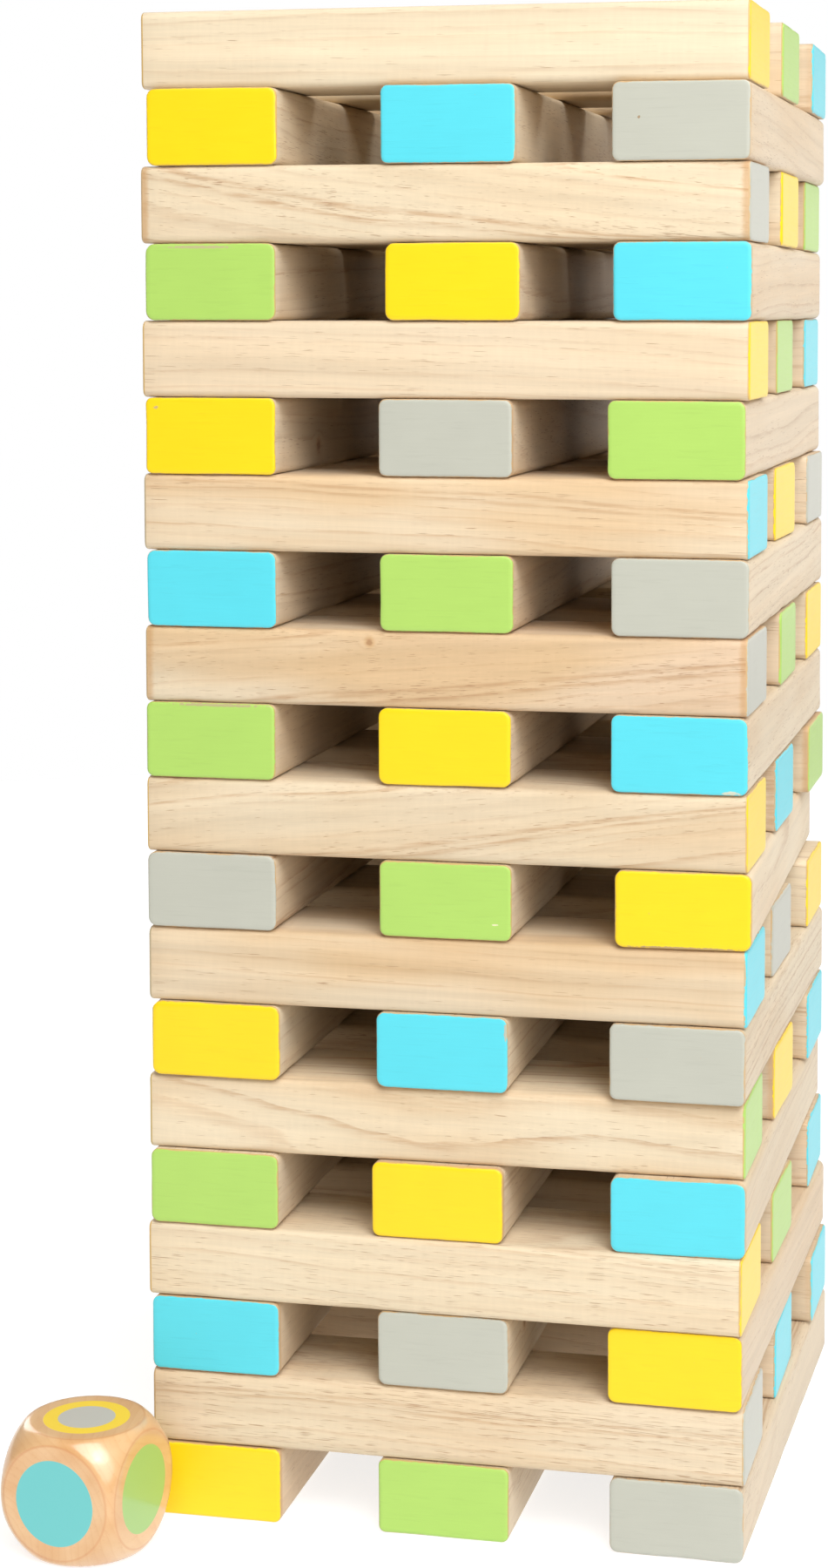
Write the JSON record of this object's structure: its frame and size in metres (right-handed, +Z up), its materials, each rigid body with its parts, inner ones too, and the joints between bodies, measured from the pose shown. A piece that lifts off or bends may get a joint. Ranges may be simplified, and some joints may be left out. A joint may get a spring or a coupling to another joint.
{
  "type": "tumbling tower game",
  "caption": "Free-standing tower of crossed wooden blocks with painted ends that players slide out and restack, with a rounded colour die beside it.",
  "frame": {"origin": "on the ground under the middle of the tower, on the underside of the lowest middle block", "axes": "+Z up, -Y to the front where the painted ends of the odd layers show, +X to the right where those of the even layers show"},
  "size_m": [0.289, 0.3075, 0.5997],
  "materials": {
    "wood_yellow_ends": "smooth sanded pale wood, both ends painted yellow in thin satin paint",
    "wood_green_ends": "smooth sanded pale wood, both ends painted green in thin satin paint",
    "wood_blue_ends": "smooth sanded pale wood, both ends painted blue in thin satin paint",
    "wood_gray_ends": "smooth sanded pale wood, both ends painted gray in thin satin paint",
    "wood_base_pair": "smooth sanded pale wood, lower block's ends painted green and upper block's blue",
    "wood_die": "glossy varnished wood with painted colour discs on its faces"
  },
  "bodies": {
    "blocks_01_02_middle": {"blocks_01_02_middle": "wood_base_pair"},
    "block_01_left": {"block_01_left": "wood_yellow_ends"},
    "block_01_right": {"block_01_right": "wood_gray_ends"},
    "block_02_front": {"block_02_front": "wood_gray_ends"},
    "block_02_back": {"block_02_back": "wood_blue_ends"},
    "block_03_left": {"block_03_left": "wood_blue_ends"},
    "block_03_middle": {"block_03_middle": "wood_gray_ends"},
    "block_03_right": {"block_03_right": "wood_yellow_ends"},
    "block_04_front": {"block_04_front": "wood_yellow_ends"},
    "block_04_middle": {"block_04_middle": "wood_green_ends"},
    "block_04_back": {"block_04_back": "wood_blue_ends"},
    "block_05_left": {"block_05_left": "wood_green_ends"},
    "block_05_middle": {"block_05_middle": "wood_yellow_ends"},
    "block_05_right": {"block_05_right": "wood_blue_ends"},
    "block_06_front": {"block_06_front": "wood_green_ends"},
    "block_06_middle": {"block_06_middle": "wood_yellow_ends"},
    "block_06_back": {"block_06_back": "wood_blue_ends"},
    "block_07_left": {"block_07_left": "wood_yellow_ends"},
    "block_07_middle": {"block_07_middle": "wood_blue_ends"},
    "block_07_right": {"block_07_right": "wood_gray_ends"},
    "block_08_front": {"block_08_front": "wood_blue_ends"},
    "block_08_middle": {"block_08_middle": "wood_gray_ends"},
    "block_08_back": {"block_08_back": "wood_yellow_ends"},
    "block_09_left": {"block_09_left": "wood_gray_ends"},
    "block_09_middle": {"block_09_middle": "wood_green_ends"},
    "block_09_right": {"block_09_right": "wood_yellow_ends"},
    "block_10_front": {"block_10_front": "wood_yellow_ends"},
    "block_10_middle": {"block_10_middle": "wood_blue_ends"},
    "block_10_back": {"block_10_back": "wood_green_ends"},
    "block_11_left": {"block_11_left": "wood_green_ends"},
    "block_11_middle": {"block_11_middle": "wood_yellow_ends"},
    "block_11_right": {"block_11_right": "wood_blue_ends"},
    "block_12_front": {"block_12_front": "wood_gray_ends"},
    "block_12_middle": {"block_12_middle": "wood_green_ends"},
    "block_12_back": {"block_12_back": "wood_yellow_ends"},
    "block_13_left": {"block_13_left": "wood_blue_ends"},
    "block_13_middle": {"block_13_middle": "wood_green_ends"},
    "block_13_right": {"block_13_right": "wood_gray_ends"},
    "block_14_front": {"block_14_front": "wood_blue_ends"},
    "block_14_middle": {"block_14_middle": "wood_yellow_ends"},
    "block_14_back": {"block_14_back": "wood_gray_ends"},
    "block_15_left": {"block_15_left": "wood_yellow_ends"},
    "block_15_middle": {"block_15_middle": "wood_gray_ends"},
    "block_15_right": {"block_15_right": "wood_green_ends"},
    "block_16_front": {"block_16_front": "wood_yellow_ends"},
    "block_16_middle": {"block_16_middle": "wood_green_ends"},
    "block_16_back": {"block_16_back": "wood_blue_ends"},
    "block_17_left": {"block_17_left": "wood_green_ends"},
    "block_17_middle": {"block_17_middle": "wood_yellow_ends"},
    "block_17_right": {"block_17_right": "wood_blue_ends"},
    "block_18_front": {"block_18_front": "wood_gray_ends"},
    "block_18_middle": {"block_18_middle": "wood_yellow_ends"},
    "block_18_back": {"block_18_back": "wood_green_ends"},
    "block_19_left": {"block_19_left": "wood_yellow_ends"},
    "block_19_middle": {"block_19_middle": "wood_blue_ends"},
    "block_19_right": {"block_19_right": "wood_gray_ends"},
    "block_20_front": {"block_20_front": "wood_yellow_ends"},
    "block_20_middle": {"block_20_middle": "wood_green_ends"},
    "block_20_back": {"block_20_back": "wood_blue_ends"},
    "colour_die": {"colour_die": "wood_die"}
  },
  "joints": [
    {"name": "block_01_left_slide", "type": "slide", "parent": "blocks_01_02_middle", "child": "block_01_left", "axis": [0, 1, 0], "range_m": [0, 0.25]},
    {"name": "block_01_right_slide", "type": "slide", "parent": "blocks_01_02_middle", "child": "block_01_right", "axis": [0.0192, 0.9998, 0], "range_m": [-0.25, 0.25]},
    {"name": "block_02_front_slide", "type": "slide", "parent": "blocks_01_02_middle", "child": "block_02_front", "axis": [1, 0, 0], "range_m": [-0.25, 0.25]},
    {"name": "block_02_back_slide", "type": "slide", "parent": "blocks_01_02_middle", "child": "block_02_back", "axis": [1, 0, 0], "range_m": [-0.25, 0.25]},
    {"name": "block_03_left_slide", "type": "slide", "parent": "blocks_01_02_middle", "child": "block_03_left", "axis": [0, 1, 0], "range_m": [-0.25, 0.25]},
    {"name": "block_03_middle_slide", "type": "slide", "parent": "blocks_01_02_middle", "child": "block_03_middle", "axis": [0, 1, 0], "range_m": [-0.25, 0.25]},
    {"name": "block_03_right_slide", "type": "slide", "parent": "blocks_01_02_middle", "child": "block_03_right", "axis": [0.0175, 0.9998, 0], "range_m": [-0.25, 0.25]},
    {"name": "block_04_front_slide", "type": "slide", "parent": "blocks_01_02_middle", "child": "block_04_front", "axis": [1, -0.0087, 0], "range_m": [-0.25, 0.25]},
    {"name": "block_04_middle_slide", "type": "slide", "parent": "blocks_01_02_middle", "child": "block_04_middle", "axis": [0.9997, -0.0244, 0], "range_m": [-0.25, 0.25]},
    {"name": "block_04_back_slide", "type": "slide", "parent": "blocks_01_02_middle", "child": "block_04_back", "axis": [1, 0.007, 0], "range_m": [-0.25, 0.25]},
    {"name": "block_05_left_slide", "type": "slide", "parent": "blocks_01_02_middle", "child": "block_05_left", "axis": [0, 1, 0], "range_m": [-0.25, 0.25]},
    {"name": "block_05_middle_slide", "type": "slide", "parent": "blocks_01_02_middle", "child": "block_05_middle", "axis": [0.0052, 1, 0], "range_m": [-0.25, 0.25]},
    {"name": "block_05_right_slide", "type": "slide", "parent": "blocks_01_02_middle", "child": "block_05_right", "axis": [0, 1, 0], "range_m": [-0.25, 0.25]},
    {"name": "block_06_front_slide", "type": "slide", "parent": "blocks_01_02_middle", "child": "block_06_front", "axis": [1, 0.0087, 0], "range_m": [-0.25, 0.25]},
    {"name": "block_06_middle_slide", "type": "slide", "parent": "blocks_01_02_middle", "child": "block_06_middle", "axis": [0.9998, -0.0209, 0], "range_m": [-0.25, 0.25]},
    {"name": "block_06_back_slide", "type": "slide", "parent": "blocks_01_02_middle", "child": "block_06_back", "axis": [1, 0, 0], "range_m": [-0.25, 0.25]},
    {"name": "block_07_left_slide", "type": "slide", "parent": "blocks_01_02_middle", "child": "block_07_left", "axis": [0, 1, 0], "range_m": [-0.25, 0.25]},
    {"name": "block_07_middle_slide", "type": "slide", "parent": "blocks_01_02_middle", "child": "block_07_middle", "axis": [0, 1, 0], "range_m": [-0.25, 0.25]},
    {"name": "block_07_right_slide", "type": "slide", "parent": "blocks_01_02_middle", "child": "block_07_right", "axis": [0.0087, 1, 0], "range_m": [-0.25, 0.25]},
    {"name": "block_08_front_slide", "type": "slide", "parent": "blocks_01_02_middle", "child": "block_08_front", "axis": [1, 0, 0], "range_m": [-0.25, 0.25]},
    {"name": "block_08_middle_slide", "type": "slide", "parent": "blocks_01_02_middle", "child": "block_08_middle", "axis": [0.9999, -0.0157, 0], "range_m": [-0.25, 0.25]},
    {"name": "block_08_back_slide", "type": "slide", "parent": "blocks_01_02_middle", "child": "block_08_back", "axis": [1, 0, 0], "range_m": [-0.25, 0.25]},
    {"name": "block_09_left_slide", "type": "slide", "parent": "blocks_01_02_middle", "child": "block_09_left", "axis": [0, 1, 0], "range_m": [-0.25, 0.25]},
    {"name": "block_09_middle_slide", "type": "slide", "parent": "blocks_01_02_middle", "child": "block_09_middle", "axis": [0, 1, 0], "range_m": [-0.25, 0.25]},
    {"name": "block_09_right_slide", "type": "slide", "parent": "blocks_01_02_middle", "child": "block_09_right", "axis": [-0.0262, 0.9997, 0], "range_m": [-0.25, 0.25]},
    {"name": "block_10_front_slide", "type": "slide", "parent": "blocks_01_02_middle", "child": "block_10_front", "axis": [1, 0, 0], "range_m": [-0.25, 0.25]},
    {"name": "block_10_middle_slide", "type": "slide", "parent": "blocks_01_02_middle", "child": "block_10_middle", "axis": [1, -0.0052, 0], "range_m": [-0.25, 0.25]},
    {"name": "block_10_back_slide", "type": "slide", "parent": "blocks_01_02_middle", "child": "block_10_back", "axis": [1, 0, 0], "range_m": [-0.25, 0.25]},
    {"name": "block_11_left_slide", "type": "slide", "parent": "blocks_01_02_middle", "child": "block_11_left", "axis": [0, 1, 0], "range_m": [-0.25, 0.25]},
    {"name": "block_11_middle_slide", "type": "slide", "parent": "blocks_01_02_middle", "child": "block_11_middle", "axis": [0, 1, 0], "range_m": [-0.25, 0.25]},
    {"name": "block_11_right_slide", "type": "slide", "parent": "blocks_01_02_middle", "child": "block_11_right", "axis": [0, 1, 0], "range_m": [-0.25, 0.25]},
    {"name": "block_12_front_slide", "type": "slide", "parent": "blocks_01_02_middle", "child": "block_12_front", "axis": [1, 0, 0], "range_m": [-0.25, 0.25]},
    {"name": "block_12_middle_slide", "type": "slide", "parent": "blocks_01_02_middle", "child": "block_12_middle", "axis": [0.9999, 0.0105, 0], "range_m": [-0.25, 0.25]},
    {"name": "block_12_back_slide", "type": "slide", "parent": "blocks_01_02_middle", "child": "block_12_back", "axis": [1, 0, 0], "range_m": [-0.25, 0.25]},
    {"name": "block_13_left_slide", "type": "slide", "parent": "blocks_01_02_middle", "child": "block_13_left", "axis": [0, 1, 0], "range_m": [-0.25, 0.25]},
    {"name": "block_13_middle_slide", "type": "slide", "parent": "blocks_01_02_middle", "child": "block_13_middle", "axis": [-0.007, 1, 0], "range_m": [-0.25, 0.25]},
    {"name": "block_13_right_slide", "type": "slide", "parent": "blocks_01_02_middle", "child": "block_13_right", "axis": [0, 1, 0], "range_m": [-0.25, 0.25]},
    {"name": "block_14_front_slide", "type": "slide", "parent": "blocks_01_02_middle", "child": "block_14_front", "axis": [1, 0, 0], "range_m": [-0.25, 0.25]},
    {"name": "block_14_middle_slide", "type": "slide", "parent": "blocks_01_02_middle", "child": "block_14_middle", "axis": [0.9996, -0.0279, 0], "range_m": [-0.25, 0.25]},
    {"name": "block_14_back_slide", "type": "slide", "parent": "blocks_01_02_middle", "child": "block_14_back", "axis": [1, 0, 0], "range_m": [-0.25, 0.25]},
    {"name": "block_15_left_slide", "type": "slide", "parent": "blocks_01_02_middle", "child": "block_15_left", "axis": [0, 1, 0], "range_m": [-0.25, 0.25]},
    {"name": "block_15_middle_slide", "type": "slide", "parent": "blocks_01_02_middle", "child": "block_15_middle", "axis": [0, 1, 0], "range_m": [-0.25, 0.25]},
    {"name": "block_15_right_slide", "type": "slide", "parent": "blocks_01_02_middle", "child": "block_15_right", "axis": [0, 1, 0], "range_m": [-0.25, 0.25]},
    {"name": "block_16_front_slide", "type": "slide", "parent": "blocks_01_02_middle", "child": "block_16_front", "axis": [1, 0, 0], "range_m": [-0.25, 0.25]},
    {"name": "block_16_middle_slide", "type": "slide", "parent": "blocks_01_02_middle", "child": "block_16_middle", "axis": [1, 0.007, 0], "range_m": [-0.25, 0.25]},
    {"name": "block_16_back_slide", "type": "slide", "parent": "blocks_01_02_middle", "child": "block_16_back", "axis": [1, 0.0087, 0], "range_m": [-0.25, 0.25]},
    {"name": "block_17_left_slide", "type": "slide", "parent": "blocks_01_02_middle", "child": "block_17_left", "axis": [0, 1, 0], "range_m": [-0.25, 0.25]},
    {"name": "block_17_middle_slide", "type": "slide", "parent": "blocks_01_02_middle", "child": "block_17_middle", "axis": [-0.0122, 0.9999, 0], "range_m": [-0.25, 0.25]},
    {"name": "block_17_right_slide", "type": "slide", "parent": "blocks_01_02_middle", "child": "block_17_right", "axis": [-0.0087, 1, 0], "range_m": [-0.25, 0.25]},
    {"name": "block_18_front_slide", "type": "slide", "parent": "blocks_01_02_middle", "child": "block_18_front", "axis": [1, 0, 0], "range_m": [-0.25, 0.25]},
    {"name": "block_18_middle_slide", "type": "slide", "parent": "blocks_01_02_middle", "child": "block_18_middle", "axis": [1, 0, 0], "range_m": [-0.25, 0.25]},
    {"name": "block_18_back_slide", "type": "slide", "parent": "blocks_01_02_middle", "child": "block_18_back", "axis": [1, 0, 0], "range_m": [-0.25, 0.25]},
    {"name": "block_19_left_slide", "type": "slide", "parent": "blocks_01_02_middle", "child": "block_19_left", "axis": [0, 1, 0], "range_m": [-0.25, 0.25]},
    {"name": "block_19_middle_slide", "type": "slide", "parent": "blocks_01_02_middle", "child": "block_19_middle", "axis": [-0.007, 1, 0], "range_m": [-0.25, 0.25]},
    {"name": "block_19_right_slide", "type": "slide", "parent": "blocks_01_02_middle", "child": "block_19_right", "axis": [0, 1, 0], "range_m": [-0.25, 0.25]},
    {"name": "block_20_front_slide", "type": "slide", "parent": "blocks_01_02_middle", "child": "block_20_front", "axis": [1, -0.007, 0], "range_m": [-0.25, 0.25]},
    {"name": "block_20_middle_slide", "type": "slide", "parent": "blocks_01_02_middle", "child": "block_20_middle", "axis": [1, 0, 0], "range_m": [-0.25, 0.25]},
    {"name": "block_20_back_slide", "type": "slide", "parent": "blocks_01_02_middle", "child": "block_20_back", "axis": [0.9999, 0.0105, 0], "range_m": [-0.25, 0.25]},
    {"name": "colour_die_lift", "type": "slide", "parent": "blocks_01_02_middle", "child": "colour_die", "axis": [0, 0, 1], "range_m": [0, 0.15]}
  ]
}
